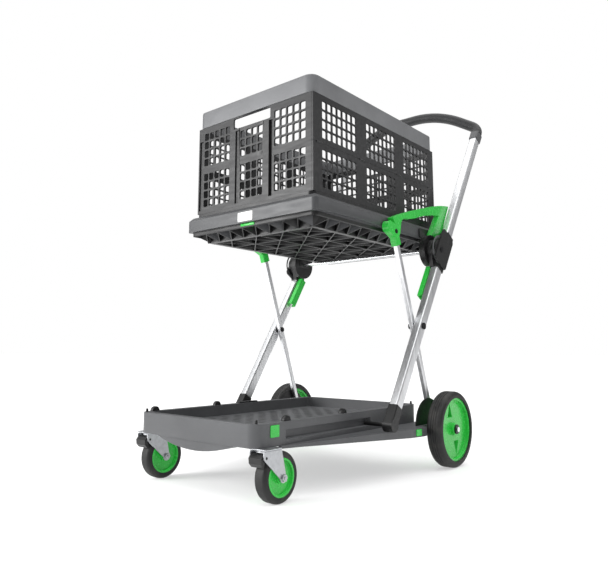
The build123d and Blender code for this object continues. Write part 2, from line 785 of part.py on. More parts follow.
# ---- deck: shelf that the crate stands on ---------------------------------------------------
deck_mid_y = station(deck_front + deck_length / 2)
pocket_half = crate_half + 1.5
pocket_length = crate_length + 3
pocket_mid_y = station(crate_front + crate_length / 2)
deck_r = 12.0
skirt_length = deck_length - 16
under_half = deck_skirt_half - under_inset
under_length = skirt_length - 2 * under_inset
bay_x = 2 * under_half / rib_columns
bay_y = under_length / rib_rows
gusset_shift = 2.0
gusset_reach = under_inset + 1
gusset_length = gusset_reach / sin(radians(gusset_lean))
gusset_end = (under_length + under_inset) / 2 - gusset_shift
gusset_side = under_half + under_inset / 2 - gusset_shift
slope_height = deck_rim_low - skirt_edge - deck_low
deck_under = deck_floor - wall
with BuildPart() as envelope:
    for low, height, slope in (
        (deck_under, deck_under - deck_rim_low + skirt_edge, 0),
        (deck_rim_low - skirt_edge, slope_height, degrees(atan2(under_inset, slope_height))),
    ):
        with BuildSketch(Plane.XY.offset(low)):
            with Locations((0, deck_mid_y)):
                Rectangle(2 * deck_skirt_half + 2, skirt_length + 2)
        extrude(amount=-height, taper=slope)
with BuildPart() as ribs:
    with BuildSketch(Plane.XY.offset(deck_low)):
        with Locations((0, deck_mid_y)):
            RectangleRounded(2 * deck_skirt_half, skirt_length, deck_r)
            Rectangle(2 * (deck_skirt_half - wall), skirt_length - 2 * wall, mode=Mode.SUBTRACT)
            RectangleRounded(2 * under_half, under_length, deck_r)
            Rectangle(2 * (under_half - frame_band), under_length - 2 * frame_band, mode=Mode.SUBTRACT)
            with GridLocations(bay_x, 0, rib_columns - 1, 1):
                Rectangle(rib, under_length - wall)
            with GridLocations(0, bay_y, 1, rib_rows - 1):
                Rectangle(2 * under_half - wall, rib)
            # slanting ribs that cross each bay
            slant = degrees(atan2(bay_y, bay_x))
            with GridLocations(bay_x, bay_y, rib_columns, rib_rows):
                for lean in (-1, 1):
                    with Locations(Location((0, 0), lean * slant)):
                        Rectangle(sqrt(bay_x**2 + bay_y**2) - rib, rib * 0.7)
            # zigzag gussets between the inset frame and the outer skirt
            for edge in (-1, 1):
                with GridLocations(bay_x / 2, 0, 2 * rib_columns, 1):
                    for lean in (-1, 1):
                        with Locations(Location((lean * bay_x / 8, edge * gusset_end), lean * gusset_lean)):
                            Rectangle(gusset_length, rib * 0.8)
                with GridLocations(0, bay_y / 2, 1, 2 * rib_rows):
                    for lean in (-1, 1):
                        gusset = Location((edge * gusset_side, lean * bay_y / 8), 90 + lean * gusset_lean)
                        with Locations(gusset):
                            Rectangle(gusset_length, rib * 0.8)
    extrude(amount=deck_under - deck_low)
    # the underside slopes in from the skirt to the inset frame
    add(envelope.part, mode=Mode.INTERSECT)
with BuildPart() as deck:
    with BuildSketch(Plane.XY.offset(deck_rim_low)):
        with Locations((0, deck_mid_y)):
            RectangleRounded(2 * deck_half, deck_length, deck_r)
    extrude(amount=deck_rim_high - deck_rim_low)
    with BuildSketch(Plane.XY.offset(deck_rim_high)):
        with Locations((0, deck_mid_y)):
            RectangleRounded(2 * deck_half, deck_length, deck_r)
    extrude(amount=deck_lip - deck_rim_high, taper=50)
    # hollow under the floor, then the ribs that fill it
    with BuildSketch(Plane.XY.offset(deck_rim_low)):
        with Locations((0, deck_mid_y)):
            Rectangle(2 * (deck_skirt_half - wall), skirt_length - 2 * wall)
    extrude(amount=deck_under - deck_rim_low, mode=Mode.SUBTRACT)
    add(ribs.part)
    with BuildSketch(Plane.XY.offset(deck_floor)):
        with Locations((0, pocket_mid_y)):
            Rectangle(2 * pocket_half, pocket_length)
    extrude(amount=deck_lip - deck_floor + 1, mode=Mode.SUBTRACT)
    with BuildSketch(Plane.XZ.offset(-station(deck_front - 1))):
        with Locations((0, latch_low + latch_high / 2)):
            Rectangle(latch_wide + 2 * clear, latch_high + 2 * clear)
    extrude(amount=-(latch_depth + latch_travel + 2), mode=Mode.SUBTRACT)
    # shallow arched track under each side edge, which the legs' rollers follow as the frame folds
    for side, sx in SIDES:
        with BuildSketch(upright(sx * (deck_skirt_half + clear))):
            with BuildLine():
                ThreePointArc(
                    (station(track_front), deck_rim_low),
                    (station((track_front + track_rear) / 2), deck_rim_low + track_rise),
                    (station(track_rear), deck_rim_low),
                )
                Line((station(track_rear), deck_rim_low), (station(track_front), deck_rim_low))
            make_face()
        extrude(amount=sx * (deck_half - deck_skirt_half), mode=Mode.SUBTRACT)
keep(deck.part, "deck")
with BuildPart() as latch:
    with BuildSketch(Plane.XZ.offset(-station(deck_front - latch_proud))):
        with Locations((0, latch_low + latch_high / 2)):
            Rectangle(latch_wide, latch_high)
    extrude(amount=-latch_depth)
    fillet(latch.faces().sort_by(Axis.Y)[0].edges(), radius=1)
keep(latch.part, "deck_latch")

# side boxes under the deck's rear, the discs that turn in the joints, and the rod between
with BuildPart() as cross_rod:
    with BuildSketch(upright(-disc_in)):
        with Locations((station(joint_at), joint_z)):
            Circle(rod_r)
    extrude(amount=2 * disc_in)
keep(cross_rod.part, "cross_rod")
for side, sx in SIDES:
    with BuildPart() as disc:
        with BuildSketch(upright(sx * disc_in)):
            with Locations((station(joint_at), joint_z)):
                Circle(disc_r)
        extrude(amount=sx * (disc_out - disc_in))
        with BuildSketch(upright(sx * disc_out)):
            with Locations((station(joint_at), joint_z)):
                Circle(joint_pin_r)
        extrude(amount=sx * (housing_out - 1 - disc_out))
        # cheek that bolts flat against the deck's side
        with BuildSketch(upright(sx * (deck_half + clear / 2))):
            with Locations((station(joint_at), (deck_rim_low + deck_rim_high) / 2)):
                RectangleRounded(70, deck_rim_high - deck_rim_low - 4, 4)
            with Locations((station(joint_at), (joint_z + deck_rim_low) / 2)):
                Rectangle(44, deck_rim_low - joint_z + 12)
            with Locations((station(joint_at), joint_z)):
                Circle(rod_r + running, mode=Mode.SUBTRACT)
        extrude(amount=sx * (disc_in - deck_half - clear / 2))
    keep(disc.part, f"joint_disc_{side}")

# green side arms, from the discs forward over the deck's edge to the legs' blocks
for side, sx in SIDES:
    with BuildPart() as arm:
        with BuildSketch(upright(sx * block_in)):
            with BuildLine():
                Spline(*[(station(at), z) for at, z in arm_top])
                Polyline(*[(station(at), z) for at, z in (arm_top[-1], *arm_heel)])
                Spline(*[(station(at), z) for at, z in arm_under])
                Polyline(*[(station(at), z) for at, z in (arm_under[-1], arm_top[0])])
            make_face()
        extrude(amount=sx * (block_out - block_in))
        # room for the leg's block, whose outline the arm follows at rest
        with BuildSketch(upright(sx * (block_in - 1))):
            with Locations((station(leg_top_at), leg_top_z)):
                Circle(block_r + clear)
            with Locations((station(nose_at), nose_z)):
                Circle(nose_r + clear)
            make_hull()
        extrude(amount=sx * (block_out - block_in + 2), mode=Mode.SUBTRACT)
        with BuildSketch(slanted(leg_top_at, leg_top_z, -leg_tilt, sx * leg_mid).offset(-2 * block_r)):
            Rectangle(3 * leg_wide, leg_deep + 9 + 2 * clear)
        extrude(amount=2 * block_r, mode=Mode.SUBTRACT)
        with BuildSketch(upright(sx * (block_in - 1))):
            with Locations((station(joint_at), joint_z)):
                Circle(disc_r + running)
        extrude(amount=sx * (block_out - block_in + 2), mode=Mode.SUBTRACT)
    keep(arm.part, f"side_arm_{side}")

# ---- folding crate ----------------------------------------------------------------------------
crate_mid_y = station(crate_front + crate_length / 2)
rim_low = crate_high - crate_rim_height
wall_low = crate_low + crate_band
wall_top = rim_low - clear
half_z = (wall_low + wall_top) / 2
crate_inner_half = crate_half - crate_wall
crate_inner_length = crate_length - 2 * crate_wall
with BuildPart() as crate_floor:
    with BuildSketch(Plane.XY.offset(crate_low)):
        with Locations((0, crate_mid_y)):
            RectangleRounded(2 * crate_half, crate_length, crate_r)
    extrude(amount=crate_band - clear)
    with BuildSketch(Plane.XY.offset(crate_low + wall)):
        with Locations((0, crate_mid_y)):
            RectangleRounded(2 * crate_inner_half, crate_inner_length, crate_r - crate_wall)
    extrude(amount=crate_band, mode=Mode.SUBTRACT)
    with BuildSketch(Plane.XY.offset(crate_low)):
        with Locations((0, crate_mid_y)):
            with GridLocations(44, 44, 7, 11):
                Rectangle(30, 30)
    extrude(amount=wall, mode=Mode.SUBTRACT)
keep(crate_floor.part, "crate_floor")
with BuildPart() as crate_rim:
    with BuildSketch(Plane.XY.offset(rim_low)):
        with Locations((0, crate_mid_y)):
            RectangleRounded(2 * crate_half, crate_length, crate_rim_r)
            inner_r = crate_rim_r - crate_wall
            RectangleRounded(2 * crate_inner_half, crate_inner_length, inner_r, mode=Mode.SUBTRACT)
    extrude(amount=crate_rim_height)
    fillet(crate_rim.faces().sort_by(Axis.Z)[-1].outer_wire().edges(), radius=3)
keep(crate_rim.part, "crate_rim")

side_halves = (("lower", wall_low, half_z - clear / 2), ("upper", half_z + clear / 2, wall_top))
for side, sx in SIDES:
    for level, low, high in side_halves:
        with BuildPart() as panel:
            with BuildSketch(upright(sx * crate_inner_half)):
                with Locations((crate_mid_y, (low + high) / 2)):
                    Rectangle(crate_length - 2 * crate_set, high - low)
                for field in (-1, 0, 1):
                    with Locations((crate_mid_y + field * field_pitch, (low + high) / 2)):
                        with GridLocations(hole_pitch, hole_rise, hole_columns, hole_rows):
                            Rectangle(hole_wide, hole_high, mode=Mode.SUBTRACT)
            extrude(amount=sx * (crate_wall - 0.5))
        keep(panel.part, f"crate_side_{side}_{level}")

end_half = crate_inner_half - clear
for end, facing in (("front", -1), ("rear", 1)):
    with BuildPart() as end_wall:
        outside = crate_mid_y + facing * (crate_length / 2 - crate_set)
        with BuildSketch(Plane.XZ.offset(-outside)):
            with Locations((0, (wall_low + wall_top) / 2)):
                Rectangle(2 * end_half, wall_top - wall_low)
            for column, count in ((-1, 5), (0, 4), (1, 5)):
                for row in (-1, 1):
                    centre_z = (wall_low + wall_top) / 2 + row * end_row_gap
                    rows = hole_rows
                    if column == 0 and row == 1:
                        centre_z -= hole_rise / 2
                        rows = hole_rows - 1
                    with Locations((column * end_field_pitch, centre_z)):
                        with GridLocations(hole_pitch, hole_rise, count, rows):
                            Rectangle(hole_wide, hole_high, mode=Mode.SUBTRACT)
            with Locations((0, wall_top - grip_hole_high / 2 - 3)):
                Rectangle(grip_hole_wide, grip_hole_high, mode=Mode.SUBTRACT)
        extrude(amount=facing * crate_wall)
    keep(end_wall.part, f"crate_end_{end}")
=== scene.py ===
"""Folding shopping cart: finishes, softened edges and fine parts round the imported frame."""

import json
import math

import bmesh
import bpy
from bpy.props import FloatProperty, FloatVectorProperty, IntProperty, PointerProperty
from mathutils import Euler, Matrix, Vector


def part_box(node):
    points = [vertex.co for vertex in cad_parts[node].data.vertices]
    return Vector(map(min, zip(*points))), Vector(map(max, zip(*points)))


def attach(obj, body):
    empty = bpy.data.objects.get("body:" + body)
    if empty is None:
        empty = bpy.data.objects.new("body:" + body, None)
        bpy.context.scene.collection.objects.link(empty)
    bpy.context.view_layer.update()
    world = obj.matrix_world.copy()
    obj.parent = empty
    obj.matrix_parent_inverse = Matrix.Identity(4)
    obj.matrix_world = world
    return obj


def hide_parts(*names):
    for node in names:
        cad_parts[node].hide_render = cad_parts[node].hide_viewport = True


bl_info = {
    "name": "Folding Shopping Cart",
    "version": (1, 0, 0),
    "blender": (4, 5, 0),
    "location": "View3D > Sidebar > Cart",
    "description": "Finishes a folding cart with a lift-off crate",
    "category": "Object",
}

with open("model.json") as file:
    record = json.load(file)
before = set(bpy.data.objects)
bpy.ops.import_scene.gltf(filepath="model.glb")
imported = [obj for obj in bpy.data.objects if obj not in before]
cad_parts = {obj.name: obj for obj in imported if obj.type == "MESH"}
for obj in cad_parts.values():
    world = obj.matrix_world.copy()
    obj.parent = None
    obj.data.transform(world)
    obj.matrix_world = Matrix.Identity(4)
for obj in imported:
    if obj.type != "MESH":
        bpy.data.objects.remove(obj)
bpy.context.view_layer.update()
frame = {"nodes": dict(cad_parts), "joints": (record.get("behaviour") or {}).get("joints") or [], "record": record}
MM = 0.001
SIDES = (("left", 1), ("right", -1))
MERGE = 1e-6
BLOCK_PIN_Z = 0.56
TRAY_HALF = 0.178
FLAT = math.radians(0.6)
SHARP = math.radians(38)
SLOT_OF = {part["node"]: part["material_slot"] for part in frame["record"]["subparts"]}
JOINTS = {joint["name"]: joint for joint in frame["joints"]}
BODY_OF = {
    node: body
    for body, nodes in frame["record"]["behaviour"]["bodies"].items()
    for node in nodes
}


def linear(code):
    """Linear colour of an sRGB hex code."""
    channels = [int(code[at:at + 2], 16) / 255 for at in (0, 2, 4)]
    return tuple(c / 12.92 if c <= 0.04045 else ((c + 0.055) / 1.055) ** 2.4 for c in channels)


def colour(name, description, code):
    """A colour that a user can change."""
    return FloatVectorProperty(
        name=name, description=description, subtype="COLOR", min=0, max=1, default=linear(code)
    )


def length(name, description, millimetres):
    """A length that a user can change."""
    return FloatProperty(
        name=name, description=description, unit="LENGTH", min=0, default=millimetres * MM
    )


class CartColours(bpy.types.PropertyGroup):
    """Colours of the cart's finishes."""

    tray: colour("Tray", "Grey of the moulded base tray", "4C4D4F")
    deck: colour("Deck", "Grey of the deck", "404143")
    rim: colour("Crate rim", "Grey of the crate's rim", "68696B")
    crate: colour("Crate", "Dark grey of the crate's walls", "121214")
    black: colour("Black", "Black of the nylon fittings", "0B0B0C")
    green: colour("Green", "Leaf green of the hubs and arms", "2DB340")
    rubber: colour("Rubber", "Black of the tyres", "060607")
    grip: colour("Grip", "Charcoal of the soft grip", "1B1C1E")
    cap: colour("Grip caps", "Grey of the grip's end caps", "4A4B4D")
    anodised: colour("Tube", "Silver of the anodised tubes", "E4E5E7")
    zinc: colour("Zinc", "Silver of the plated castor forks", "B9BBBE")
    steel: colour("Bright steel", "Silver of the drawn bars", "E2E3E5")
    label: colour("Label", "White of the deck's front badge", "F1F2EF")


class CartSizes(bpy.types.PropertyGroup):
    """Sizes of the fine parts."""

    edge: length("Edge", "Radius of the moulded parts' edges", 0.9)
    sheet_edge: length("Sheet edge", "Radius of the pressed metal's edges", 0.35)
    hole_corner: length("Hole corner", "Corner radius of the crate's holes", 3.2)
    dent_length: length("Dent length", "Length of one dent in the tray's floor", 26)
    dent_width: length("Dent width", "Width of one dent in the tray's floor", 9)
    dent_pitch: length("Dent pitch", "Distance between the rows of dents", 21)
    hole_pitch: length("Hole pitch", "Distance between the crate's columns of holes", 19)
    hole_rise: length("Hole rise", "Distance between the crate's rows of holes", 22)
    hole_post: length("Hole post", "Width of the web between two holes", 5)
    field_pitch: length("Field pitch", "Distance between the long side's fields of holes", 172)
    end_field_pitch: length("End field pitch", "Distance between the end's fields", 118)
    end_row_gap: length("End row gap", "Height of the end's fields from its middle", 52)
    lens: FloatProperty(name="Lens", description="Camera's lens", unit="CAMERA", default=35.65)
    segments: IntProperty(name="Segments", description="Steps round a soft edge", default=2, min=1)


def add(tree, kind, inputs=None, **settings):
    """A node with its settings; each input is a value or another node's output."""
    node = tree.nodes.new(kind)
    for key, value in settings.items():
        setattr(node, key, value)
    for key, value in (inputs or {}).items():
        if isinstance(value, bpy.types.NodeSocket):
            tree.links.new(value, node.inputs[key])
        else:
            node.inputs[key].default_value = value
    return node


def blank(name):
    """An empty material with its output, and its tree."""
    material = bpy.data.materials.new(name)
    material.use_nodes = True
    material.node_tree.nodes.clear()
    return material, material.node_tree


def finished(material, shader, shade=None):
    """The material, once its shader is linked to the output."""
    tree = material.node_tree
    out = tree.nodes.new("ShaderNodeOutputMaterial")
    tree.links.new(shader.outputs["BSDF"], out.inputs["Surface"])
    if shade:
        material.diffuse_color = (*shade, 1)
    return material


def scaled(shade, factor):
    """A colour made lighter or darker."""
    return tuple(min(1.0, c * factor) for c in shade)


def place(tree, turn=(0, 0, 0), stretch=(1, 1, 1)):
    """Object coordinates, turned and stretched."""
    coords = add(tree, "ShaderNodeTexCoord")
    mapping = add(
        tree,
        "ShaderNodeMapping",
        {"Vector": coords.outputs["Object"], "Rotation": turn, "Scale": stretch},
    )
    return mapping.outputs["Vector"]


def noise(tree, where, size_mm, detail=3.0, roughness=0.55):
    """Noise whose patches are about this wide."""
    node = add(
        tree,
        "ShaderNodeTexNoise",
        {"Vector": where, "Scale": 1 / (size_mm * MM), "Detail": detail, "Roughness": roughness},
    )
    return node.outputs["Fac"]


def spread(tree, value, low, high, start=0.3, end=0.7):
    """A pattern's middle range stretched to run from low to high."""
    node = add(
        tree,
        "ShaderNodeMapRange",
        {"Value": value, "From Min": start, "From Max": end, "To Min": low, "To Max": high},
    )
    return node.outputs["Result"]


def worn_and_highlit_edges(tree, reach_mm, where):
    """Mask of edges paled partly as rubbed wear and partly as a painted highlight, broken up so that they look
    handled rather than painted on.
    """
    soft = add(tree, "ShaderNodeBevel", {"Radius": reach_mm * MM}, samples=4)
    surface = add(tree, "ShaderNodeNewGeometry")
    alike = add(
        tree,
        "ShaderNodeVectorMath",
        {0: soft.outputs["Normal"], 1: surface.outputs["Normal"]},
        operation="DOT_PRODUCT",
    )
    edge = spread(tree, alike.outputs["Value"], 1.0, 0.0, 0.86, 0.99)
    patch = spread(tree, noise(tree, where, 22), 0.15, 1.0)
    both = add(tree, "ShaderNodeMath", {0: edge, 1: patch}, operation="MULTIPLY", use_clamp=True)
    return both.outputs["Value"]


def mixed(tree, factor, first, second):
    """Two colours mixed by a mask."""
    node = add(tree, "ShaderNodeMix", {"Factor": factor}, data_type="RGBA")
    for socket, value in ((node.inputs[6], first), (node.inputs[7], second)):
        if isinstance(value, bpy.types.NodeSocket):
            tree.links.new(value, socket)
        else:
            socket.default_value = (*value, 1)
    return node.outputs[2]


def moulded(name, shade, roughness, grain_mm, depth_mm, wear=1.3, sheen=0.0, scuffs=0.3):
    """Injection-moulded plastic: a fine spark-eroded grain, faint flow patches, and paler edges that are partly
    rubbed wear and partly a painted highlight, which give a soft grey glow on its corners."""
    material, tree = blank(name)
    where = place(tree)
    flow = noise(tree, where, 85, detail=4)
    grain = noise(tree, where, grain_mm, detail=2)
    scuff = noise(tree, place(tree, turn=(0.3, 0.2, 0.8), stretch=(1, 9, 9)), 60, detail=5)
    tone = mixed(tree, spread(tree, flow, 0, 1), scaled(shade, 0.9), scaled(shade, 1.1))
    tone = mixed(tree, spread(tree, scuff, 0, scuffs, 0.6, 0.78), tone, scaled(shade, 1.45))
    # edges paler by the wear factor: partly rubbed wear, partly a painted highlight
    tone = mixed(tree, worn_and_highlit_edges(tree, 1.6, where), tone, scaled(shade, wear))
    bump = add(
        tree,
        "ShaderNodeBump",
        {"Height": grain, "Distance": depth_mm * MM, "Strength": 0.6},
    )
    gloss = spread(tree, scuff, roughness - 0.05, roughness + 0.1)
    shader = add(
        tree,
        "ShaderNodeBsdfPrincipled",
        {"Base Color": tone, "Roughness": gloss, "Normal": bump.outputs["Normal"], "IOR": 1.49},
    )
    if sheen:
        shader.inputs["Sheen Weight"].default_value = sheen
    return finished(material, shader, shade)


def rubbered(name, shade):
    """Thermoplastic rubber tyre: matt, with a dusty bloom in patches and a fine pitted skin."""
    material, tree = blank(name)
    where = place(tree)
    dust = noise(tree, where, 30, detail=6, roughness=0.65)
    pits = noise(tree, where, 1.6, detail=2)
    tone = mixed(tree, spread(tree, dust, 0, 0.6, 0.45, 0.8), shade, linear("4A4845"))
    bump = add(tree, "ShaderNodeBump", {"Height": pits, "Distance": 0.25 * MM, "Strength": 0.7})
    shader = add(
        tree,
        "ShaderNodeBsdfPrincipled",
        {
            "Base Color": tone,
            "Roughness": spread(tree, dust, 0.5, 0.75),
            "Normal": bump.outputs["Normal"],
            "IOR": 1.52,
        },
    )
    return finished(material, shader, shade)


def extruded(name, shade, lean):
    """Satin anodised extrusion: fine die lines along the tube that catch the light as stripes."""
    material, tree = blank(name)
    where = place(tree, turn=(lean, 0, 0), stretch=(1, 1, 0.012))
    lines = noise(tree, where, 1.3, detail=3)
    broad = noise(tree, where, 5, detail=2)
    tone = mixed(tree, spread(tree, broad, 0, 1), scaled(shade, 0.82), scaled(shade, 1.05))
    bump = add(tree, "ShaderNodeBump", {"Height": lines, "Distance": 0.12 * MM, "Strength": 0.55})
    shader = add(
        tree,
        "ShaderNodeBsdfPrincipled",
        {
            "Base Color": tone,
            "Metallic": 1.0,
            "Roughness": spread(tree, lines, 0.3, 0.46),
            "Normal": bump.outputs["Normal"],
        },
    )
    return finished(material, shader, shade)


def plated(name, shade, roughness, spangle_mm):
    """Zinc-plated pressing: cloudy bluish patches over a fine rolled grain."""
    material, tree = blank(name)
    where = place(tree)
    cloud = noise(tree, where, spangle_mm, detail=5, roughness=0.6)
    rolled = noise(tree, place(tree, stretch=(1, 0.08, 1)), 1.2, detail=2)
    tone = mixed(tree, spread(tree, cloud, 0, 1), scaled(shade, 0.8), scaled(shade, 1.12))
    # edges paler: partly rubbed wear, partly a painted highlight
    tone = mixed(tree, worn_and_highlit_edges(tree, 0.8, where), tone, scaled(shade, 1.25))
    bump = add(tree, "ShaderNodeBump", {"Height": rolled, "Distance": 0.08 * MM, "Strength": 0.5})
    shader = add(
        tree,
        "ShaderNodeBsdfPrincipled",
        {
            "Base Color": tone,
            "Metallic": 1.0,
            "Roughness": spread(tree, cloud, roughness - 0.06, roughness + 0.12),
            "Normal": bump.outputs["Normal"],
        },
    )
    return finished(material, shader, shade)


def floor_finish(name, shade):
    """Pale painted studio floor with a barely visible tone drift."""
    material, tree = blank(name)
    drift = noise(tree, place(tree), 900, detail=2)
    tone = mixed(tree, spread(tree, drift, 0, 1), scaled(shade, 0.985), shade)
    shader = add(tree, "ShaderNodeBsdfPrincipled", {"Base Color": tone, "Roughness": 0.75})
    return finished(material, shader, shade)


def make_finishes(colours):
    """Every finish by the record's slot, or by its own name where a piece needs another."""
    tube_lean = math.radians(33)
    leg_lean = math.radians(-19.34)
    return {
        # fine spark finish of polypropylene, which scatters a soft highlight
        "base_plastic": moulded("polypropylene_grey_grained", colours.tray, 0.38, 1.1, 0.12),
        "deck_plastic": moulded("polypropylene_deck_grained", colours.deck, 0.4, 1.1, 0.12),
        "rim_plastic": moulded("polypropylene_rim_satin", colours.rim, 0.34, 0.9, 0.08),
        "crate_plastic": moulded("polypropylene_crate_satin", colours.crate, 0.4, 0.9, 0.09),
        # black nylon's edges paled strongly: partly wear, partly a painted highlight
        "black_plastic": moulded("nylon_black_grained", colours.black, 0.42, 1.0, 0.12, wear=2.2),
        # polished ABS: saturated, with a tight highlight and hardly any grain
        "green_plastic": moulded(
            "abs_green_gloss", colours.green, 0.22, 2.6, 0.03, wear=1.25, scuffs=0.05
        ),
        "cap_plastic": moulded("nylon_cap_satin", colours.cap, 0.4, 0.9, 0.1),
        "grip_rubber": moulded("tpe_grip_soft", colours.grip, 0.55, 0.9, 0.18, sheen=0.15),
        "tyre_rubber": rubbered("tpr_tyre_matt", colours.rubber),
        "anodised_tube": extruded("aluminium_anodised_tube", colours.anodised, tube_lean),
        "anodised_leg": extruded("aluminium_anodised_leg", colours.anodised, leg_lean),
        "zinc_steel": plated("steel_zinc_plated", colours.zinc, 0.34, 9),
        "bright_rod": plated("steel_bright_drawn", colours.steel, 0.2, 14),
        "black_bolts": plated("steel_black_oxide", linear("2A2A2C"), 0.4, 5),
        "label": moulded("vinyl_label_white", colours.label, 0.3, 3.0, 0.02, wear=1.0),
    }


FINISHES = {}


def finish_of(node):
    """The finish of a node's record slot; the legs lean the other way and have their own."""
    if node in ("leg_left", "leg_right"):
        return FINISHES["anodised_leg"]
    return FINISHES[SLOT_OF[node]]


def new_piece(name, bm, body, material, sharp=SHARP):
    """A piece from a bmesh, shaded smooth up to its sharp edges, riding on a body."""
    mesh = bpy.data.meshes.new(name)
    bm.to_mesh(mesh)
    bm.free()
    mesh.polygons.foreach_set("use_smooth", [True] * len(mesh.polygons))
    mesh.set_sharp_from_angle(angle=sharp)
    mesh.materials.append(material)
    piece = bpy.data.objects.new(name, mesh)
    bpy.context.scene.collection.objects.link(piece)
    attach(piece, body)
    return piece


def joined_copy(node):
    """A node's mesh with its loose triangles merged and its flat faces made whole."""
    bm = bmesh.new()
    bm.from_mesh(frame["nodes"][node].data)
    bmesh.ops.remove_doubles(bm, verts=bm.verts, dist=MERGE)
    bmesh.ops.dissolve_limit(bm, angle_limit=FLAT, verts=bm.verts, edges=bm.edges)
    return bm


def soften(node, radius, segments, bm=None):
    """The node's own shape with its moulded edge radius, in place of the sharp one."""
    bm = bm or joined_copy(node)
    piece = new_piece(f"{node}_finished", bm, BODY_OF[node], finish_of(node))
    bevel = piece.modifiers.new("moulded_edge", "BEVEL")
    bevel.width = radius
    bevel.segments = segments
    bevel.limit_method = "ANGLE"
    bevel.angle_limit = math.radians(40)
    bevel.use_clamp_overlap = True
    bevel.harden_normals = True
    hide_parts(node)
    return piece


def turned(name, profile, centre, body, material, steps=72):
    """A piece turned about the X axis through centre from (along, radius) points."""
    bm = bmesh.new()
    verts = [bm.verts.new((centre.x + along, centre.y, centre.z + radius)) for along, radius in profile]
    edges = [bm.edges.new((a, b)) for a, b in zip(verts, verts[1:] + verts[:1])]
    bmesh.ops.spin(
        bm,
        geom=verts + edges,
        cent=centre,
        axis=(1, 0, 0),
        angle=2 * math.pi,
        steps=steps,
        use_merge=True,
    )
    bmesh.ops.remove_doubles(bm, verts=bm.verts, dist=MERGE)
    bmesh.ops.recalc_face_normals(bm, faces=bm.faces)
    return new_piece(name, bm, body, material)


def stud(bm, centre, axis, radius, height, steps=24, dome=0.35):
    """A low round stud with a domed edge, standing on centre along axis."""
    turn = Vector((0, 0, 1)).rotation_difference(Vector(axis)).to_matrix().to_4x4()
    made = bmesh.ops.create_cone(
        bm,
        cap_ends=True,
        segments=steps,
        radius1=radius,
        radius2=radius,
        depth=height,
        matrix=Matrix.Translation(Vector(centre) + Vector(axis) * height / 2) @ turn,
    )
    top = max(
        (face for face in {f for v in made["verts"] for f in v.link_faces} if len(face.verts) > 4),
        key=lambda face: face.calc_center_median().dot(Vector(axis)),
    )
    bmesh.ops.bevel(
        bm,
        geom=list(top.edges),
        offset=min(radius, height) * dome,
        affect="EDGES",
        segments=3,
        profile=0.5,
        material=-1,
    )
    return top


class PieceOperator(bpy.types.Operator):
    """Makes one piece or group of like pieces."""

    bl_options = {"REGISTER", "UNDO"}

    def execute(self, context):
        scene = context.scene
        self.make(scene.cart_colours, scene.cart_sizes)
        return {"FINISHED"}


class CART_OT_finishes(PieceOperator):
    """Make the finishes and put each on its nodes"""

    bl_idname = "cart.finishes"
    bl_label = "Finishes"

    def make(self, colours, sizes):
        FINISHES.update(make_finishes(colours))
        for node, item in frame["nodes"].items():
            item.data.materials.clear()
            item.data.materials.append(finish_of(node))


